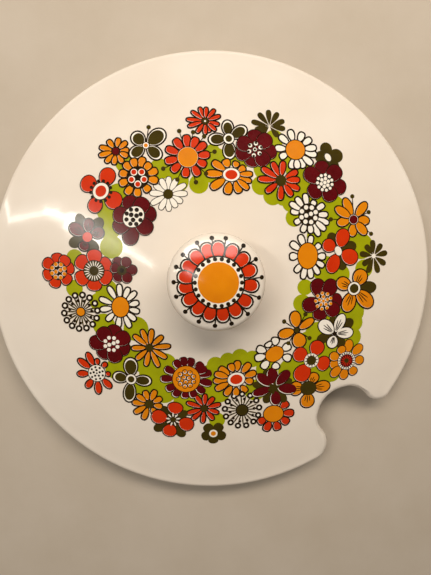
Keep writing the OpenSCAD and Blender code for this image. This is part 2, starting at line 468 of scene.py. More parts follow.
def flangeRings():
    root, soft = flange["root"], flange["soft"]
    levels = [(-root, seatZ + flange["sunk"])]
    levels += [(root * (math.sin(math.radians(a)) - 1), seatZ - root * (1 - math.cos(math.radians(a))))
               for a in range(0, 91, 15)]
    levels += [(0, seatZ * 0.5)]
    levels += [(soft * (1 - math.cos(math.radians(a))), soft * (1 - math.sin(math.radians(a))))
               for a in range(0, 91, 15)]
    return [[(p.x, p.y, z) for p in flangeOutline(inset)] for inset, z in levels]


def closeEnds(piece):
    bpy.ops.object.mode_set(mode="EDIT")
    bpy.ops.mesh.select_all(action="DESELECT")
    bpy.ops.mesh.select_non_manifold()
    bpy.ops.mesh.edge_face_add()
    bpy.ops.mesh.select_all(action="SELECT")
    bpy.ops.mesh.normals_make_consistent(inside=False)
    bpy.ops.object.mode_set(mode="OBJECT")


def joinPieces(first, *others):
    bpy.ops.object.select_all(action="DESELECT")
    for piece in (first, *others):
        piece.select_set(True)
    bpy.context.view_layer.objects.active = first
    bpy.ops.object.join()
    return first


lidShell = ringShell("lid_shell", plateRings(), lidGlaze, 50)
lidFlange = ringShell("lid_flange", flangeRings(), lidGlaze, 50)
closeEnds(lidFlange)
lidShell = joinPieces(lidShell, lidFlange)
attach(lidShell, "lid")
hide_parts("lid")
print("lid made")


# Knob: a lathed mushroom with a socket for its insert
knob = {"head": 23 * mm, "shoulder": 4 * mm, "crown": 45 * mm, "neck": 11.5 * mm,
        "foot": 15 * mm, "footSoft": 0.8 * mm, "socket": 5.25 * mm, "socketDeep": 15.5 * mm,
        "socketSoft": 0.4 * mm}
shoulderAt = knob["head"] - knob["shoulder"]
crownDrop = math.sqrt((knob["crown"] - knob["shoulder"]) ** 2 - shoulderAt ** 2)
crownZ = knobTop - knob["crown"]
shoulderZ = crownZ + crownDrop
hollow = shoulderAt - knob["neck"]
hollowZ = shoulderZ - knob["shoulder"] - hollow


def knobSection():
    crownEnd = math.degrees(math.asin(shoulderAt / (knob["crown"] - knob["shoulder"])))
    foot, soft = knob["foot"], knob["footSoft"]
    section = [(0, knobTop)]
    section += arc((0, crownZ), knob["crown"], 90, 90 - crownEnd, 24)[1:]
    section += arc((shoulderAt, shoulderZ), knob["shoulder"], 90 - crownEnd, -90, 20)[1:]
    footTurn = math.degrees(math.acos((shoulderAt - foot + soft) / (hollow + soft)))
    section += arc((shoulderAt, hollowZ), hollow, 90, 180, 12)[1:]
    low = hollowZ - math.sqrt((hollow + soft) ** 2 - (shoulderAt - foot + soft) ** 2)
    section += arc((shoulderAt, hollowZ), hollow, 180, 180 + footTurn, 10)[1:]
    section += arc((foot - soft, low), soft, footTurn, 0, 5)[1:]
    section += arc((foot - soft, knobFoot + soft), soft, 0, -90, 6)
    section += [(knob["socket"] + knob["socketSoft"], knobFoot)]
    section += [(knob["socket"], knobFoot + knob["socketSoft"])]
    section += [(knob["socket"], knobFoot + knob["socketDeep"]), (0, knobFoot + knob["socketDeep"])]
    return section


knobBody = lathe("knob_body", knobSection(), knobGlaze, 160, closed=False, angle=50)
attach(knobBody, "knob")
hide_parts("knob")
print("knob made")


# Fixing: screw, washers, gaskets and insert, each in the place of its CAD node
def place(piece, node, body, slot):
    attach(piece, body)
    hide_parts(node)


def ringFor(node):
    low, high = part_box(node)
    return high[0], low[2], high[2]


def makeRing(name, node, inner, soft, material, body, slot):
    outer, low, high = ringFor(node)
    ring = lathe(name, roundedRing(inner, outer, low, high, soft), material, 96)
    place(ring, node, body, slot)


holeRadius = lid["hole"]
trim = {"footGasket": 0.35 * mm, "innerGasket": 0.4 * mm, "washer": 0.15 * mm, "springGap": 0.8 * mm}
makeRing("foot_gasket_ring", "foot_gasket", holeRadius, trim["footGasket"], rubber, "foot_gasket",
         "gasket_rubber")
makeRing("inner_gasket_ring", "inner_gasket", holeRadius, trim["innerGasket"], rubber, "lid",
         "gasket_rubber")
makeRing("washer_plain", "steel_washer", holeRadius, trim["washer"], steel, "lid", "stainless")


def makeSpringWasher():
    outer, low, high = ringFor("spring_washer")
    section = roundedRing(holeRadius, outer, low, high, trim["washer"])
    gap = math.degrees(trim["springGap"] / outer)
    bpy.ops.object.select_all(action="DESELECT")
    bpy.ops.mesh.primitive_circle_add(vertices=len(section))
    piece, bm = startPiece("washer_spring")
    for vert, (r, z) in zip(bm.verts, section):
        vert.co = (r, 0, z)
    bmesh.update_edit_mesh(piece.data)
    bpy.ops.mesh.select_all(action="SELECT")
    bpy.ops.mesh.spin(steps=90, angle=math.radians(360 - gap), center=(0, 0, 0), axis=(0, 0, 1))
    bpy.ops.mesh.select_all(action="SELECT")
    bpy.ops.transform.rotate(value=-math.radians(gap / 2), orient_axis="Z",
                             center_override=(0, 0, 0))
    finishPiece(piece, steel)
    closeEnds(piece)
    place(piece, "spring_washer", "lid", "stainless")


makeSpringWasher()

screw = {"shank": 2.05 * mm, "crest": 2.5 * mm, "pitch": 0.8 * mm, "slot": 1.2 * mm,
         "slotDeep": 1.8 * mm, "slotLong": 5.5 * mm, "headSoft": 1.3 * mm, "plain": 4 * mm,
         "tip": 0.5 * mm, "runOut": 0.4 * mm}


def makeScrew():
    low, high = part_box("knob_screw")
    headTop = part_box("spring_washer")[0][2]
    headRadius, soft = high[0], screw["headSoft"]
    tip, plainEnd = screw["tip"], headTop + screw["plain"]
    section = [(0, high[2]), (screw["shank"] - tip, high[2])]
    section += [(screw["shank"], high[2] - tip), (screw["shank"], plainEnd)]
    section += [(screw["crest"], plainEnd - screw["runOut"]), (screw["crest"], headTop)]
    section += [(headRadius - 0.2 * mm, headTop), (headRadius, headTop - 0.2 * mm)]
    section += arc((headRadius - soft, low[2] + soft), soft, 0, -90, 8)
    section += [(0, low[2])]
    piece = lathe("knob_screw_body", section, steel, 64, closed=False)
    for turn in (0, 90):
        bpy.ops.mesh.primitive_cube_add(size=1, location=(0, 0, low[2]))
        cutter = bpy.context.object
        cutter.scale = (screw["slotLong"], screw["slot"], 2 * screw["slotDeep"])
        cutter.rotation_euler = (0, 0, math.radians(turn))
        bpy.ops.object.transform_apply()
        bpy.ops.object.select_all(action="DESELECT")
        piece.select_set(True)
        bpy.context.view_layer.objects.active = piece
        cut = piece.modifiers.new("slot", "BOOLEAN")
        cut.operation = "DIFFERENCE"
        cut.object = cutter
        bpy.ops.object.modifier_apply(modifier=cut.name)
        bpy.data.objects.remove(cutter)
    return joinPieces(piece, makeThread(plainEnd - screw["runOut"], high[2] - 0.7 * mm))


# Thread: a ridge that climbs one pitch a turn round the shank
def makeThread(start, end):
    ridge = [(screw["shank"] - 0.1 * mm, -0.38), (screw["crest"] - 0.02 * mm, -0.08),
             (screw["crest"] - 0.02 * mm, 0.08), (screw["shank"] - 0.1 * mm, 0.38)]
    bpy.ops.object.select_all(action="DESELECT")
    bpy.ops.mesh.primitive_circle_add(vertices=len(ridge))
    piece, bm = startPiece("thread")
    for vert, (r, part) in zip(bm.verts, ridge):
        vert.co = (r, 0, start + (part + 0.5) * screw["pitch"])
    bmesh.update_edit_mesh(piece.data)
    bpy.ops.object.mode_set(mode="OBJECT")
    climb = piece.modifiers.new("climb", "SCREW")
    climb.iterations = int((end - start) / screw["pitch"]) - 1
    climb.screw_offset = screw["pitch"]
    climb.steps = climb.render_steps = 32
    bpy.ops.object.modifier_apply(modifier=climb.name)
    closeEnds(piece)
    finishPiece(piece, steel)
    return piece


screwBody = makeScrew()
finishPiece(screwBody, steel)
place(screwBody, "knob_screw", "lid", "stainless")

insert = {"bore": 2.6 * mm, "grooves": 5, "deep": 0.25 * mm, "solidEnd": 2 * mm}


def makeInsert():
    low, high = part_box("knob_insert")
    radius, span = high[0], (high[2] - low[2]) / insert["grooves"]
    section = [(0, high[2])]
    for i in range(insert["grooves"]):
        top = high[2] - i * span
        section += [(radius - 0.2 * mm, top - 0.02 * mm), (radius, top - 0.3 * mm)]
        section += [(radius, top - span + 0.9 * mm)]
        section += [(radius - insert["deep"], top - span + 0.6 * mm)]
        section += [(radius - insert["deep"], top - span + 0.3 * mm)]
    section += [(insert["bore"] + 0.4 * mm, low[2]), (insert["bore"], low[2] + 0.4 * mm)]
    section += [(insert["bore"], high[2] - insert["solidEnd"]), (0, high[2] - insert["solidEnd"])]
    piece = lathe("insert_body", section, brass, 72, closed=False, angle=30)
    place(piece, "knob_insert", "knob", "insert_brass")


makeInsert()
groutNode = frame["nodes"]["insert_cement"]
groutNode.data.materials.clear()
groutNode.data.materials.append(grout)
print("fixings made")


# Printed transfers. Every shape is a thin closed patch of ink, laid flat in millimetres and
# then draped: later layers and later flowers stand a hair above earlier ones.
press = {"layer": 0.012, "order": 0.1, "sunk": 0.05, "line": 0.8, "slip": (0.1, 0.1),
         "petalPoints": 24, "discPoints": 24, "vein": 0.55, "veinTurn": 11,
         "stem": 0.5, "stemDot": 1.15}
usual = {"form": "daisy", "order": 2, "look": "lined", "start": 1.5, "line": press["line"]}
petalForms = {"oval": (0.5, 0.5), "daisy": (0.6, 0.36), "tear": (1.15, 0.42),
              "round": (0.62, 0.5), "lobe": (0.75, 0.45)}
stamps = {}


def stampUnit(name, shape, points, finer=0):
    bpy.ops.object.select_all(action="DESELECT")
    bpy.ops.mesh.primitive_circle_add(vertices=points, fill_type="TRIFAN")
    unit, bm = startPiece(name)
    for vert in bm.verts:
        vert.co = shape(vert.co)
    bmesh.update_edit_mesh(unit.data)
    bpy.ops.mesh.select_all(action="SELECT")
    if finer:
        bpy.ops.mesh.subdivide(number_cuts=finer)
    bpy.ops.mesh.extrude_region_move(TRANSFORM_OT_translate={"value": (0, 0, 1)})
    bpy.ops.mesh.select_all(action="SELECT")
    bpy.ops.mesh.normals_make_consistent(inside=False)
    bpy.ops.object.mode_set(mode="OBJECT")
    return unit


def petalShape(form):
    grow, close = petalForms[form]
    peak = grow / (grow + close)
    widest = peak ** grow * (1 - peak) ** close

    def shape(co):
        along = min(1, max(0, 0.5 + 0.5 * co.x))
        side = 0.5 * along ** grow * (1 - along) ** close / widest
        return Vector((along, math.copysign(side, co.y) if abs(co.y) > 0.001 else 0, 0))
    return shape


def makeUnits(points, finer):
    units = {form: stampUnit("petal_" + form, petalShape(form), points, finer)
             for form in petalForms}
    units["disc"] = stampUnit("disc", lambda co: co, points, finer)
    return units


def stamp(units, form, ink, matrix, height):
    mesh = units[form].data.copy()
    flat = Matrix.Translation((0, 0, -press["sunk"]))
    flat[2][2] = height + press["sunk"]
    mesh.transform(flat @ matrix)
    copy = bpy.data.objects.new(form, mesh)
    scene.collection.objects.link(copy)
    stamps.setdefault(ink, []).append(copy)


# Heights never repeat exactly, so that no two patches of ink share a plane
def inkHeight(order, layer):
    count = sum(len(s) for s in stamps.values())
    return order * press["order"] + layer * press["layer"] + (count % 9) * 0.0006


def layPetal(units, form, ink, at, turn, start, reach, width, order, layer, shift=(0, 0)):
    matrix = (Matrix.Translation((at[0] + shift[0], at[1] + shift[1], 0))
              @ Matrix.Rotation(math.radians(turn), 4, "Z")
              @ Matrix.Translation((start, 0, 0)) @ Matrix.Diagonal((reach - start, width, 1, 1)))
    stamp(units, form, ink, matrix, inkHeight(order, layer))


def layDisc(units, ink, at, radius, order, layer, oval=1.0, turn=0.0):
    matrix = (Matrix.Translation((at[0], at[1], 0)) @ Matrix.Rotation(math.radians(turn), 4, "Z")
              @ Matrix.Diagonal((radius, radius * oval, 1, 1)))
    stamp(units, "disc", ink, matrix, inkHeight(order, layer))


def around(at, radius, turn):
    return (at[0] + radius * math.cos(math.radians(turn)),
            at[1] + radius * math.sin(math.radians(turn)))


# One petal in the flower's own style, from its dark line up to its ink
def drawPetal(units, row, turn, reach, width, layer=0):
    at, start, order, form, ink, look, line = (
        row[k] for k in ("at", "start", "order", "form", "ink", "look", "line"))
    if look == "plain":
        layPetal(units, form, ink, at, turn, start, reach, width, order, layer + 2)
        return
    layPetal(units, form, "line", at, turn, start, reach, width, order, layer)
    layPetal(units, form, "white", at, turn, start + line, reach - line, width - 2 * line,
             order, layer + 1)
    if look == "white":
        return
    trim = line + (row.get("band", 1.1) if look == "banded" else 0)
    slip = (0, 0) if look == "banded" else row.get("slip", press["slip"])
    layPetal(units, form, ink, at, turn, start + trim, reach - trim - row.get("gap", 0),
             width - 2 * trim, order, layer + 2, slip)


# Dots in rings: each is a pale or inked bead on a dark rim
def drawBeads(units, row):
    for level, (count, ringRadius, size, ink, rim) in enumerate(row.get("beads", ())):
        for i in range(count):
            spot = around(row["at"], ringRadius, 360 * i / count + row.get("beadTurn", 20))
            if rim:
                layDisc(units, "line", spot, size, row["order"], 12)
            layDisc(units, ink, spot, size - rim, row["order"], 13 + level)


# Short strokes that run outwards, such as stamens or veins
def drawStrokes(units, row):
    for count, start, reach, width, ink, turn in row.get("strokes", ()):
        for i in range(count):
            layPetal(units, "oval", ink, row["at"], turn + 360 * i / count, start, reach, width,
                     row["order"], 11.5)


def drawFlower(units, row):
    turns = row.get("turns") or [row["turn"] + 360 * i / row["count"] for i in range(row["count"])]
    reaches = row.get("reaches") or [row["reach"]] * len(turns)
    widths = row.get("widths") or [row["width"]] * len(turns)
    for turn, reach, width in row.get("leaves", ()):
        layPetal(units, "round", "olive", row["at"], turn, 1.5, reach, width, row["order"] - 0.4, 0)
    for i, (turn, reach, width) in enumerate(zip(turns, reaches, widths)):
        # Every other petal lies on its neighbours, and the last of an odd ring on both of its own
        layer = 6 if i and i == len(turns) - 1 and i % 2 == 0 else 3 * (i % 2)
        drawPetal(units, row, turn, reach, width, layer)
        for side in (-1, 0, 1) if row.get("veins") else ():
            layPetal(units, "oval", "line", row["at"], turn + press["veinTurn"] * side,
                     row["veins"], reach * (0.72 - 0.08 * abs(side)), press["vein"],
                     row["order"], layer + 2.5)
    for i, (radius, ink) in enumerate(row.get("heart", ())):
        layDisc(units, ink, row["at"], radius, row["order"], 9 + 0.7 * i, row.get("oval", 1),
                row.get("ovalTurn", 0))
    drawStrokes(units, row)
    drawBeads(units, row)
    for turn, radius in row.get("stems", ()):
        layPetal(units, "oval", "line", row["at"], turn, 0.4 * radius, radius, press["stem"],
                 row["order"] - 0.5, 0)
        layDisc(units, "olive", around(row["at"], radius, turn), press["stemDot"],
                row["order"] - 0.5, 1)


def domeSurface(x, y):
    return domeCentre + math.sqrt(domeRadius ** 2 - x * x - y * y)


crownEdge = shoulderAt * knob["crown"] / (knob["crown"] - knob["shoulder"])


def knobSurface(x, y):
    r = math.hypot(x, y)
    if r <= crownEdge:
        return crownZ + math.sqrt(knob["crown"] ** 2 - r * r)
    return shoulderZ + math.sqrt(knob["shoulder"] ** 2 - (r - shoulderAt) ** 2)


# Joins what was stamped, ink by ink, and drapes it on its glazed surface
def drape(prefix, surface, lift, body, node):
    for count, (ink, copies) in enumerate(stamps.items()):
        piece = joinPieces(*copies) if len(copies) > 1 else copies[0]
        piece.name = prefix + ink
        piece.data.name = prefix + ink
        for vert in piece.data.vertices:
            x, y = vert.co.x * mm, vert.co.y * mm
            vert.co = (x, y, surface(x, y) + vert.co.z * mm * lift)
        finishPiece(piece, inks[ink], 35)
        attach(piece, body)
        if count == 0:
            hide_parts(node)
    stamps.clear()


def clearUnits(units):
    for unit in units.values():
        bpy.data.objects.remove(unit)


# Styles that several flowers share
bandedLeaf = {"ink": "olive", "form": "round", "look": "banded", "band": 0.3, "gap": 0.6}
beaded = {"ink": "maroon", "form": "lobe", "line": 0.46, "slip": (0.04, 0.06)}
rosette = {"ink": "vermilion", "form": "round", "line": 0.58, "order": 3}
pale = {"ink": "white", "look": "white"}

# Wreath, clockwise from the top. Places and sizes in millimetres, directions in degrees.
wreath = [
    dict(at=(-4.7, 80.8), ink="vermilion", width=3.3, start=1.2, reach=8.2,
         turns=[112, 85, 51, 20, -14, -42, -68, -90, -125, -162, 175, 144],
         reaches=[8.3, 7.8, 8.4, 8.8, 8.0, 7.9, 6.8, 7.6, 8.1, 9.8, 10.2, 9.2],
         heart=[(1.6, "olive"), (0.5, "white")]),
    dict(bandedLeaf, at=(-35, 68.2), start=0.6, turns=[138, 38, 215, -40],
         reaches=[9.8, 12.6, 10.4, 10.6], widths=[8.0, 9.0, 7.4, 7.4],
         heart=[(2.0, "line"), (1.6, "white"), (1.0, "ochre")], stems=[(82, 9.6)]),
    dict(at=(-50.5, 65.4), ink="ochre", width=3.9, start=1.6,
         turns=[78, 40, 4, -24, -60, -98, -132, -166, 165, 126],
         reaches=[7.4, 7.9, 7.2, 7.4, 7.6, 7.5, 8.4, 9.6, 9.4, 7.6],
         heart=[(2.3, "line"), (1.8, "maroon")]),
    dict(at=(-13.6, 62.1), ink="vermilion", order=3, width=5.1, start=4.2,
         turns=[94, 66, 38, 7, -24, -60, -98, -138, -169, 158, 126],
         reaches=[12, 11.6, 12.2, 11.8, 10.8, 11.6, 11.0, 11.6, 12.4, 12.6, 12.0],
         heart=[(5.6, "line"), (5.2, "white"), (5.1, "ochre")],
         stems=[(108, 14.2), (78, 13.2), (52, 13.6), (-42, 12.5), (-72, 13.4), (205, 13.8),
                (-115, 12.6), (12, 14.0)]),
    dict(bandedLeaf, at=(7.4, 71.8), order=1, start=0.8, turns=[95, 183, -88, 33],
         reaches=[10.2, 11.0, 11.2, 11.4], widths=[6.9, 7.2, 7.6, 7.4],
         heart=[(3.1, "line"), (2.6, "white"), (1.7, "olive")]),
    dict(beaded, at=(20.8, 66.4), start=0.2, width=8.6, turns=[90, 42, -8, -52, -105, -163, 153],
         reaches=[10.6, 11.2, 11.8, 10.4, 9.6, 10.8, 10.4],
         beads=[(1, 0, 1.3, "white", 0.3), (6, 3.1, 1.35, "white", 0.3), (1, 0, 0.6, "line", 0),
                (6, 3.5, 0.65, "line", 0)]),
    dict(at=(28.6, 78.7), ink="olive", form="tear", order=1, look="plain", width=3.0, start=0.5,
         turns=[166, 130, 93, 58, 22, -8, -50, 195, 225],
         reaches=[9.8, 9.0, 8.8, 8.8, 8.6, 8.4, 7.0, 8.0, 7.0]),
    dict(pale, at=(42.1, 66.7), width=4.5, start=4.2,
         turns=[105, 66, 36, 8, -12, -40, -64, -84, -104, -153, 176, 139],
         reaches=[11.3, 10.6, 11.0, 11.8, 12.2, 12.2, 10.8, 10.4, 10.6, 9.8, 11.4, 11.6],
         heart=[(5.5, "line"), (5.0, "ochre")]),
    dict(at=(59.6, 63.3), ink="olive", form="round", order=1, look="plain", start=0.0,
         turns=[102, 12, -62, 180], reaches=[8.0, 8.4, 9.4, 7.0], widths=[6.6, 7.4, 7.4, 6.6],
         heart=[(2.5, "line"), (2.2, "white")], oval=0.68, ovalTurn=-58),
    dict(beaded, at=(57.7, 50.0), order=3, start=0.2, width=9.0,
         turns=[102, 45, -15, -66, -140, 152], reaches=[11.8, 12.0, 12.2, 10.8, 11.2, 12.8],
         heart=[(4.9, "line")],
         beads=[(1, 0, 0.95, "white", 0), (6, 2.1, 0.92, "white", 0), (11, 4.0, 0.82, "white", 0)]),
    dict(at=(8.6, 53.3), ink="ochre", width=4.3, start=3.4,
         turns=[113, 66, 28, 2, -19, -40, -65, -103, -146, 178, 146],
         reaches=[9.0, 7.8, 8.6, 11.4, 11.4, 12.0, 10.8, 10.8, 13.2, 13.6, 12.2],
         widths=[5.2, 4.6, 4.6, 4.0, 3.8, 4.2, 5.0, 5.4, 5.4, 5.0, 5.0],
         heart=[(4.7, "line"), (4.3, "white"), (3.1, "vermilion")], oval=0.78, ovalTurn=0),
    dict(at=(34.3, 50.6), ink="vermilion", order=3, width=4.4, start=2.0,
         turns=[116, 83, 30, 3, -25, -54, -92, -142, 177, 148],
         reaches=[11.0, 10.6, 10.6, 10.4, 11.2, 10.4, 10.6, 10.6, 12.6, 12.4],
         heart=[(2.9, "olive")]),
    dict(pale, at=(48.9, 33.2), width=4.2, start=4.0,
         turns=[100, 66, 33, 1, -22, -41, -62, -82, -110, -149, 169, 149, 127],
         reaches=[11.6, 8.6, 10.6, 11.0, 12.4, 12.6, 13.0, 10.2, 10.2, 9.2, 10.2, 12.2, 11.6],
         heart=[(5.6, "line")], oval=1.06,
         beads=[(2, 1.35, 1.1, "white", 0), (8, 4.0, 1.15, "white", 0)]),
    dict(at=(73.6, 31.0), ink="ochre", form="round", width=5.8, start=1.6,
         turns=[115, 51, -4, -47, -94, -167, 149], reaches=[12.8, 12.2, 9.6, 11.2, 9.6, 10.0, 12.4],
         heart=[(2.9, "line"), (2.5, "white"), (2.3, "maroon")],
         stems=[(93, 12.2), (25, 9.6), (-36, 12.6), (180, 12.6)]),
    dict(pale, at=(48.6, 11.9), width=4.3, start=4.6,
         turns=[112, 80, 42, -2, -32, -57, -80, -102, -128, -178, 143],
         reaches=[12.2, 11.2, 9.6, 10.2, 11.0, 12.0, 12.4, 12.8, 11.2, 10.2, 12.0],
         widths=[4.4, 4.0, 4.2, 4.6, 4.0, 4.0, 4.2, 4.2, 4.2, 4.8, 4.6],
         heart=[(5.7, "line"), (5.25, "ochre")], oval=1.26),
    dict(rosette, at=(65.2, 14.5), start=1.6, turns=[72, -26, -111, 152],
         reaches=[12.4, 12.2, 12.8, 9.8], widths=[8.4, 9.2, 8.0, 7.8],
         heart=[(2.9, "line"), (2.5, "white")], oval=0.72, ovalTurn=-66,
         leaves=[(117, 10.6, 6.0), (18, 10.6, 6.4), (-72, 10.6, 5.6)]),
    dict(at=(85.5, 11.8), ink="olive", form="tear", order=1, look="plain", width=3.2, start=0.6,
         turns=[96, 55, 13, -33, -72, -110, -142, 171, 130],
         reaches=[8.6, 7.9, 8.2, 8.4, 9.6, 9.6, 8.0, 8.2, 7.6], heart=[(1.2, "white")]),
    dict(at=(74.6, -5.5), ink="ochre", form="round", order=3, start=1.6, veins=3.4,
         turns=[62, 157, -110, -43], reaches=[11.6, 11.2, 13.8, 15.0], widths=[9.2, 8.0, 8.6, 9.0],
         heart=[(3.9, "line"), (3.45, "white"), (2.5, "olive")], leaves=[(3, 13.0, 7.0)]),
    dict(beaded, at=(57.6, -11.9), start=0.2, width=8.6, turns=[113, 64, 0, -42, -104, -165],
         reaches=[12.8, 12.8, 10.6, 11.4, 11.0, 12.0], heart=[(4.9, "line")],
         beads=[(1, 0, 1.05, "white", 0), (5, 2.15, 1.05, "white", 0), (9, 4.15, 1.0, "white", 0),
                (1, 0, 0.88, "ochre", 0), (5, 2.3, 0.88, "ochre", 0), (9, 4.3, 0.84, "ochre", 0)]),
    dict(at=(43.5, -27.3), ink="ochre", form="round", order=3, start=1.0, turns=[99, 33, -76, 196],
         reaches=[10.8, 11.2, 10.2, 10.8], widths=[6.9, 5.4, 8.4, 6.4],
         heart=[(1.9, "line"), (1.3, "olive")],
         stems=[(145, 8.4), (62, 9.6), (-32, 8.4), (-122, 8.2)]),
    dict(pale, at=(64.5, -29.8), form="round", order=3, start=0.6, veins=1.8, line=0.58,
         turns=[67, 142, 3, -103], reaches=[12.0, 11.4, 10.9, 8.4], widths=[6.6, 8.2, 6.9, 6.9],
         heart=[(1.2, "line")],
         leaves=[(36, 12.6, 6.4), (100, 9.6, 5.0), (-160, 10.4, 5.6), (-55, 9.2, 6.0)]),
    dict(pale, at=(31.8, -40.0), width=5.2, start=4.2, turns=[88, 122, 161, 192, 230, -83, -18, 29],
         reaches=[9.6, 8.0, 10.6, 11.2, 10.6, 9.0, 10.0, 10.2],
         heart=[(5.4, "line"), (4.95, "ochre")], oval=0.78, ovalTurn=30),
    dict(rosette, at=(52.1, -44.1), start=2.6, turns=[68, 152, -17, -124],
         reaches=[11.8, 11.4, 11.0, 14.0], widths=[8.8, 8.8, 9.0, 9.8],
         heart=[(4.1, "line"), (3.9, "white"), (2.7, "olive")],
         strokes=[(12, 2.5, 3.7, 0.5, "line", 8)]),
    dict(at=(72.1, -45.1), ink="ochre", form="round", start=4.2, width=5.8, line=0.58,
         turns=[85, 45, -1, -56, -98, -134, -166, 160, 118],
         reaches=[12.2, 12.4, 10.4, 10.2, 11.2, 12.4, 10.2, 10.8, 9.6],
         heart=[(5.2, "line"), (4.9, "white"), (3.7, "maroon"), (1.4, "olive")],
         strokes=[(20, 3.4, 4.8, 0.6, "line", 0), (14, 1.2, 3.3, 0.4, "vermilion", 6)]),
    dict(at=(51.2, -59.9), ink="ochre", form="round", order=1, start=2.4, veins=4.2,
         turns=[66, 4, -92, 180], reaches=[9.8, 12.7, 12.0, 11.0], widths=[7.0, 7.6, 8.8, 9.0],
         heart=[(4.6, "line"), (4.3, "olive")], oval=0.9),
    dict(at=(32.0, -59.0), ink="maroon", form="round", order=3, start=1.6, line=0.5,
         slip=(0.3, 0.3), turns=[100, 50, -7, -82, -163, 141],
         reaches=[11.6, 12.6, 12.6, 10.6, 12.6, 12.6], widths=[6.6, 6.2, 6.6, 6.4, 5.6, 6.0],
         heart=[(1.8, "olive")], strokes=[(6, 0.4, 3.6, 1.5, "olive", 22)],
         leaves=[(117, 11.6, 5.4), (24, 10.8, 5.0), (168, 12.0, 4.6), (-120, 9.8, 5.2),
                 (-50, 10.8, 5.0)]),
    dict(at=(11.6, -53.6), ink="ochre", width=4.7, start=4.0,
         turns=[87, 51, 19, -10, -54, -91, -123, -153, -176, 164, 144, 112],
         reaches=[10.8, 11.8, 11.6, 9.6, 9.8, 10.0, 11.4, 13.0, 12.8, 12.6, 11.8, 9.8],
         heart=[(5.0, "line"), (4.6, "white"), (3.3, "vermilion")], oval=0.82, ovalTurn=10),
    dict(at=(-15.0, -53.2), ink="maroon", width=4.8, start=6.0, line=0.45, slip=(0.25, 0.25),
         turns=[76, 46, 15, -12, -40, -68, -95, -124, -150, 180, 152, 120, 98, 30],
         reaches=[12.2, 12.6, 14.0, 14.0, 12.6, 11.8, 11.4, 12.4, 12.8, 14.0, 13.2, 12.2, 12.4, 12.6],
         heart=[(7.6, "line"), (7.2, "ochre")],
         beads=[(3, 1.5, 1.4, "white", 0.4), (9, 4.1, 1.4, "white", 0.4),
                (3, 1.65, 0.85, "ochre", 0), (9, 4.3, 0.85, "ochre", 0)]),
    dict(at=(32.3, -74.1), ink="vermilion", width=5.4, start=4.4,
         turns=[40, 0, -35, -74, -112, -148], reaches=[10.6, 11.8, 11.0, 11.0, 11.6, 10.4],
         heart=[(5.9, "line"), (5.4, "ochre")], oval=0.88),
    dict(at=(15.0, -71.4), ink="olive", form="oval", order=1, look="plain", width=0.75, start=3.0,
         count=20, turn=5, reach=8.6, heart=[(3.6, "line"), (3.0, "olive")],
         beads=[(13, 9.4, 1.8, "white", 1.1), (10, 6.6, 0.8, "line", 0)], beadTurn=8),
    dict(at=(-0.5, -85.0), ink="olive", form="lobe", look="plain", width=5.6, start=0.0,
         turns=[-90, -160, 130, 52, -18], reaches=[6.2, 6.8, 7.0, 7.2, 7.2],
         heart=[(2.3, "white"), (1.4, "ochre")]),
    dict(at=(-5.5, -70.0), ink="vermilion", width=3.7, start=1.4,
         turns=[87, 51, 15, -20, -54, -96, -135, -162, 160, 122],
         reaches=[8.8, 8.6, 9.6, 8.8, 9.0, 9.2, 9.8, 10.4, 10.6, 9.2], heart=[(1.9, "olive")]),
    dict(rosette, at=(-22.3, -76.4), start=2.8, turns=[80, 170, -107, -22],
         reaches=[10.4, 12.4, 11.0, 12.0], widths=[9.0, 8.8, 8.4, 8.6], heart=[(2.2, "olive")],
         strokes=[(9, 1.6, 4.0, 0.7, "white", 10), (9, 1.4, 3.8, 0.5, "line", 30)],
         leaves=[(128, 9.6, 4.6), (-148, 12.4, 6.0), (-62, 12.0, 6.0), (30, 9.0, 4.6)]),
    dict(at=(-35.0, -67.7), ink="ochre", width=4.3, start=1.8,
         turns=[106, 67, 29, -12, -60, -112, -148, 174, 142],
         reaches=[8.6, 9.4, 8.2, 7.6, 7.4, 10.2, 10.4, 9.8, 9.0], heart=[(2.3, "olive")]),
    dict(bandedLeaf, at=(-44.3, -53.5), start=1.2, turns=[90, -6, -98, 170],
         reaches=[12.4, 11.4, 13.6, 10.4], widths=[8.4, 7.0, 7.6, 7.2],
         heart=[(3.1, "line"), (2.7, "white"), (1.8, "olive")]),
    dict(at=(-34.1, -36.1), ink="ochre", width=3.9, start=1.4,
         turns=[112, 82, 42, 5, -32, -66, -102, -138, -178, 141],
         reaches=[11.0, 10.6, 10.0, 11.6, 11.0, 12.0, 10.8, 10.2, 10.0, 11.2],
         heart=[(2.0, "olive")]),
    dict(at=(-62.7, -50.5), ink="vermilion", form="round", width=4.4, start=4.0,
         turns=[113, 86, 47, -4, -48, -88, -126, -176, 143],
         reaches=[12.8, 8.6, 8.6, 7.8, 11.6, 12.4, 11.0, 11.4, 13.0],
         widths=[4.6, 3.6, 3.8, 3.6, 4.8, 4.8, 4.6, 4.6, 4.8],
         heart=[(4.9, "line"), (4.5, "white")],
         beads=[(1, 0, 0.5, "line", 0), (5, 1.7, 0.62, "line", 0), (9, 3.4, 0.6, "line", 0)]),
    dict(beaded, at=(-54.1, -34.2), order=3, start=0.2, width=8.6,
         turns=[76, 27, -22, -77, -132, 176, 127],
         reaches=[10.8, 11.0, 10.4, 10.8, 10.2, 12.2, 10.6],
         beads=[(2, 1.25, 1.05, "white", 0), (8, 3.5, 1.0, "white", 0)]),
    dict(pale, at=(-48.8, -14.5), width=4.0, start=4.0,
         turns=[92, 66, 44, 14, -14, -42, -66, -98, -136, -172, 158, 120],
         reaches=[12.4, 11.6, 12.0, 10.4, 10.6, 11.0, 12.4, 11.6, 11.0, 11.4, 12.4, 12.8],
         heart=[(4.9, "line"), (4.4, "ochre")], oval=1.18),
    dict(at=(-70.0, -17.3), ink="olive", form="oval", order=1, look="plain", width=0.75, start=2.0,
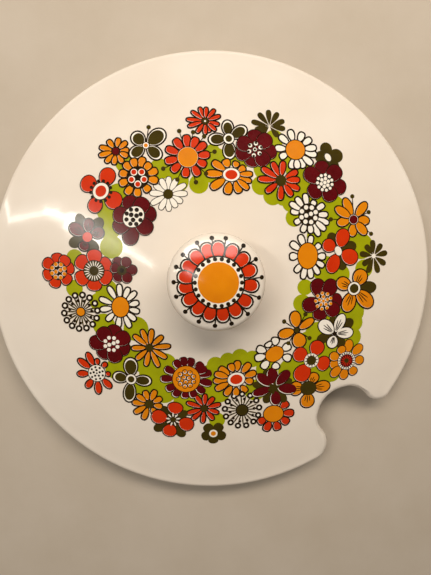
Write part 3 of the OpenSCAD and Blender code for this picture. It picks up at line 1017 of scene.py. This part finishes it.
         count=22, turn=0, reach=8.2, heart=[(2.6, "line"), (2.1, "ochre")],
         beads=[(14, 9.0, 1.85, "white", 1.05), (11, 6.0, 0.8, "line", 0)], beadTurn=5),
    dict(at=(-62.3, 4.2), ink="vermilion", form="lobe", start=2.0, width=8.6, line=0.58,
         turns=[145, 88, 28, -30, -90, -150], reaches=[11.6, 11.4, 10.4, 10.6, 10.8, 11.4],
         heart=[(5.6, "line"), (5.3, "olive")], strokes=[(20, 2.4, 5.2, 0.5, "white", 4)]),
    dict(at=(-81.4, 4.1), ink="vermilion", form="lobe", start=2.0, width=7.0, line=0.58,
         turns=[95, 56, 12, -46, -108, -160, 146], reaches=[9.6, 9.4, 9.0, 9.2, 9.6, 9.2, 10.0],
         heart=[(4.9, "line")],
         beads=[(2, 1.25, 1.1, "white", 0), (8, 3.5, 1.2, "white", 0),
                (2, 1.37, 0.98, "ochre", 0), (8, 3.65, 1.05, "ochre", 0)]),
    dict(at=(-47.7, 4.5), ink="maroon", form="round", start=1.2, line=0.46, width=6.0,
         turns=[2, -58, -122, 163, 118, 62], reaches=[8.2, 7.6, 7.0, 6.4, 7.6, 7.6],
         heart=[(2.5, "olive"), (1.2, "line")]),
    dict(at=(-65.5, 21.6), ink="maroon", form="round", start=1.8, veins=3.0,
         turns=[84, 146, 20, -112], reaches=[10.0, 11.6, 9.6, 8.0], widths=[6.8, 7.6, 7.0, 6.6],
         heart=[(2.8, "line"), (2.5, "vermilion")],
         leaves=[(113, 13.0, 6.0), (50, 12.4, 6.6), (-158, 10.6, 6.2), (-62, 9.6, 6.4)]),
    dict(beaded, at=(-41.3, 31.8), order=3, start=0.2, width=9.0,
         turns=[104, 55, 10, -42, -100, -146, 172],
         reaches=[11.4, 11.4, 12.0, 12.2, 15.0, 12.4, 11.0], heart=[(6.2, "line"), (5.8, "white")],
         oval=0.84, ovalTurn=42, beads=[(3, 1.6, 1.2, "line", 0), (8, 3.9, 1.1, "line", 0)]),
    dict(rosette, at=(-58.2, 45.0), start=2.6, turns=[66, 150, -36, -113],
         reaches=[13.0, 12.0, 12.8, 12.2], widths=[9.0, 9.6, 9.8, 8.2],
         heart=[(4.9, "line"), (4.4, "white"), (3.0, "vermilion")], oval=0.9, ovalTurn=50,
         beads=[(13, 5.3, 0.85, "line", 0)]),
    dict(at=(-39.1, 51.8), ink="ochre", order=3, width=5.0, start=4.4,
         turns=[76, 48, 20, -10, -51, -92, -125, -161, 165, 133, 105],
         reaches=[11.2, 10.2, 11.2, 11.0, 9.8, 10.4, 11.0, 10.6, 10.4, 10.8, 10.6],
         heart=[(5.9, "line")], beadTurn=54,
         beads=[(5, 3.3, 1.75, "white", 0), (5, 3.45, 1.3, "vermilion", 0)]),
    dict(pale, at=(-23.6, 43.3), order=1, width=3.5, start=1.8, line=0.38,
         turns=[88, 60, 29, 2, -30, -58, -88, -118, -150, 176, 146, 116],
         reaches=[9.2, 9.2, 10.6, 10.0, 8.6, 8.2, 9.0, 9.2, 10.4, 9.8, 9.0, 9.0],
         heart=[(2.6, "olive")]),
]

# Lime green between the flowers: (x, y, radius)
limeCloud = [
    (-28, 56, 5.5), (-19, 50, 6), (-8, 48.5, 5), (-2, 55, 6), (1, 61, 6), (-1, 65, 4), (13, 62, 6),
    (-45, 60, 6), (27, 57, 7), (24, 48, 5), (30, 42.8, 5), (35.5, 42, 4.4),
    (39.5, 39, 4.6), (31, 72, 5), (35, 62, 7), (45, 55, 8), (45, 45, 7), (41.3, 31.5, 4.6),
    (56, 40, 6), (62, 37, 7), (60, 25, 7), (54, 22, 6), (58, 5, 7), (69, 24, 6), (78, 17, 7),
    (80, 5, 5), (66, 2, 6), (47.5, -4.5, 4.2), (46, -13, 4.8), (48, -20, 6), (62, -21, 7),
    (74, -18, 7), (75, -24, 5.4), (74.5, -32, 5.4), (70, -37, 6), (55, -30, 7), (50, -35, 7),
    (62, -40, 7), (60, -50, 8), (42, -50, 8), (28, -48, 6), (20, -42.5, 4.6), (13.5, -41.4, 4.6),
    (7, -43, 4.2), (0.5, -45.6, 4.6), (-2, -50, 5), (2, -60, 7), (-6, -62, 6), (1.5, -77, 4.4),
    (22, -60, 6), (-16, -66, 6), (-27, -60, 7), (-32, -50, 8), (-26, -45, 6), (-45, -42, 7),
    (-41, -26, 6.6), (-58, -24, 6), (-60, -12, 5), (-56, -6, 6), (-53, 16.5, 6), (-54, 26, 6),
    (-54, 35, 6.5), (-72.5, 11, 4.4), (-73, -5, 4.5), (-49, 42, 7),
    (-52, -48, 6), (-38, -45, 5), (-38, -58, 5), (64, -52, 5),
]


def printWreath():
    units = makeUnits(press["petalPoints"], 0)
    wide = makeUnits(press["discPoints"], 2)   # finer, so that large discs follow the dome
    for x, y, radius in limeCloud:
        layDisc(wide, "lime", (x, y), radius, 0, 1)
    clearUnits(wide)
    for row in wreath:
        drawFlower(units, {**usual, **row})
    drape("wreath_", domeSurface, 1, "lid", "wreath_transfer")
    clearUnits(units)


printWreath()
print("wreath printed")

# Knob print: an ochre disc in a beaded ring, petals round it and a stamen between each two
badge = {"middle": (0.7, 0.3), "disc": 9.3, "ring": 11.9, "dots": 22, "dotRing": 10.6, "dot": 0.95,
         "petals": [20, 43, 66, 90, 109, 131, 152, 171, 189, 211, 233, 255, 278, 301, 325, 354],
         "stems": [6, 31, 55, 80, 98, 118, 142, 160, 180, 199, 222, 244, 266, 288, 313, 339],
         "start": 9.2, "reach": 19.2, "width": 6.8, "stem": 20.2, "stemDot": 1.05}


def printBadge():
    units = makeUnits(press["petalPoints"], 3)
    middle = badge["middle"]
    row = {**usual, "at": middle, "form": "lobe", "ink": "vermilion", "order": 1,
           "start": badge["start"], "gap": 0.45, "slip": (0.02, 0.12)}
    for i, turn in enumerate(badge["petals"]):
        drawPetal(units, row, turn, badge["reach"], badge["width"], 3 * (i % 2))
    for turn in badge["stems"]:
        layPetal(units, "oval", "line", middle, turn, 15, badge["stem"], 0.7, 0, 3)
        layDisc(units, "line", around(middle, badge["stem"], turn), badge["stemDot"], 0, 5)
    layDisc(units, "line", middle, badge["ring"] + 0.3, 2, 0)
    layDisc(units, "white", middle, badge["ring"] - 0.4, 2, 2)
    for i in range(badge["dots"]):
        spot = around(middle, badge["dotRing"], 360 * i / badge["dots"])
        layDisc(units, "line", spot, badge["dot"], 2, 4)
    layDisc(units, "ochre", middle, badge["disc"], 2, 4)
    drape("knob_print_", knobSurface, 2, "knob", "knob_transfer")
    clearUnits(units)


printBadge()
print("knob printed")


# Floor and studio light; places in metres
studio = {
    "floor": "#cdc2b4", "floorShade": "#c4b8a8", "sky": "#fff4e6", "skyPower": 0.16, "skyGloss": 0.5,
    "lights": [
        {"name": "key", "place": (0.05, 0.36, 0.52), "size": (0.7, 0.16), "along": (1, 0, 0),
         "power": 3.5, "tone": "#fff3e3", "shines": False},
        {"name": "window", "place": (-0.09, 0.85, 0.49), "size": (2.2, 0.2), "along": (1, 0, 0),
         "power": 2.5, "tone": "#fff3e4", "lights": False},
        {"name": "knob_sheen", "place": (-0.09, 0.517, 0.604), "size": (1.0, 0.28),
         "along": (1, 0, 0), "power": 9.0, "tone": "#fff6ee", "lights": False, "only": "knob"},
        {"name": "tube_start", "place": (-1.06, 0.285, 1.0), "size": (0.42, 0.03),
         "along": (1, 0.04, 0), "power": 0.5, "tone": "#fffaf0"},
        {"name": "tube_middle", "place": (-0.75, 0.258, 1.0), "size": (0.27, 0.032),
         "along": (0.95, -0.3, 0), "power": 0.4, "tone": "#fffaf0"},
        {"name": "tube_end", "place": (-0.45, 0.105, 1.0), "size": (0.42, 0.022),
         "along": (0.86, -0.5, 0), "power": 0.42, "tone": "#fffaf0"},
        {"name": "tube_glow", "place": (-0.57, 0.16, 1.0), "size": (0.34, 0.1),
         "along": (0.78, -0.36, 0), "power": 1.5, "tone": "#fffaf0"},
    ],
}


def addFloor():
    bpy.ops.object.select_all(action="DESELECT")
    bpy.ops.mesh.primitive_plane_add(size=6)
    floor = bpy.context.object
    floor.name = "floor"
    r = Recipe("pale_floor")
    cloud = r.ramp(r.noise(60 * mm, 4, 0.6), 0.3, 0.7)
    grain = r.noise(1.2 * mm, 3, 0.6)
    floor.data.materials.append(r.surface(
        Base_Color=r.mix(cloud, paint(studio["floor"]), paint(studio["floorShade"])),
        Roughness=0.7 + 0.1 * cloud, Normal=r.bump(grain, 0.15 * mm, 0.3)))


def addLights():
    world = bpy.data.worlds.new("room")
    world.use_nodes = True
    nodes = world.node_tree.nodes
    back = nodes["Background"]
    back.inputs["Color"].default_value = (*paint(studio["sky"]), 1)
    ray = nodes.new("ShaderNodeLightPath")
    power = nodes.new("ShaderNodeMapRange")
    power.inputs["To Min"].default_value = studio["skyPower"]
    power.inputs["To Max"].default_value = studio["skyPower"] * studio["skyGloss"]
    world.node_tree.links.new(ray.outputs["Is Glossy Ray"], power.inputs["Value"])
    world.node_tree.links.new(power.outputs["Result"], back.inputs["Strength"])
    scene.world = world
    for light in studio["lights"]:
        place = Vector(light["place"])
        bpy.ops.object.light_add(type="AREA", location=place)
        lamp = bpy.context.object
        lamp.name = light["name"]
        back = place.normalized()
        side = back.cross(Vector(light["along"])).normalized()
        turn = Matrix((side.cross(back), side, back)).transposed().to_4x4()
        lamp.matrix_world = Matrix.Translation(place) @ turn
        lamp.visible_glossy = light.get("shines", True)
        lamp.visible_diffuse = light.get("lights", True)
        if "only" in light:
            lit = bpy.data.collections.new(light["name"])
            for piece in scene.objects:
                if piece.name.startswith(light["only"]) and piece.type == "MESH":
                    lit.objects.link(piece)
            lamp.light_linking.receiver_collection = lit
        lamp.data.shape = "RECTANGLE"
        lamp.data.size, lamp.data.size_y = light["size"]
        lamp.data.energy = light["power"]
        lamp.data.color = paint(light["tone"])


addFloor()
addLights()
scene.view_settings.view_transform = "Standard"
print("studio lit")
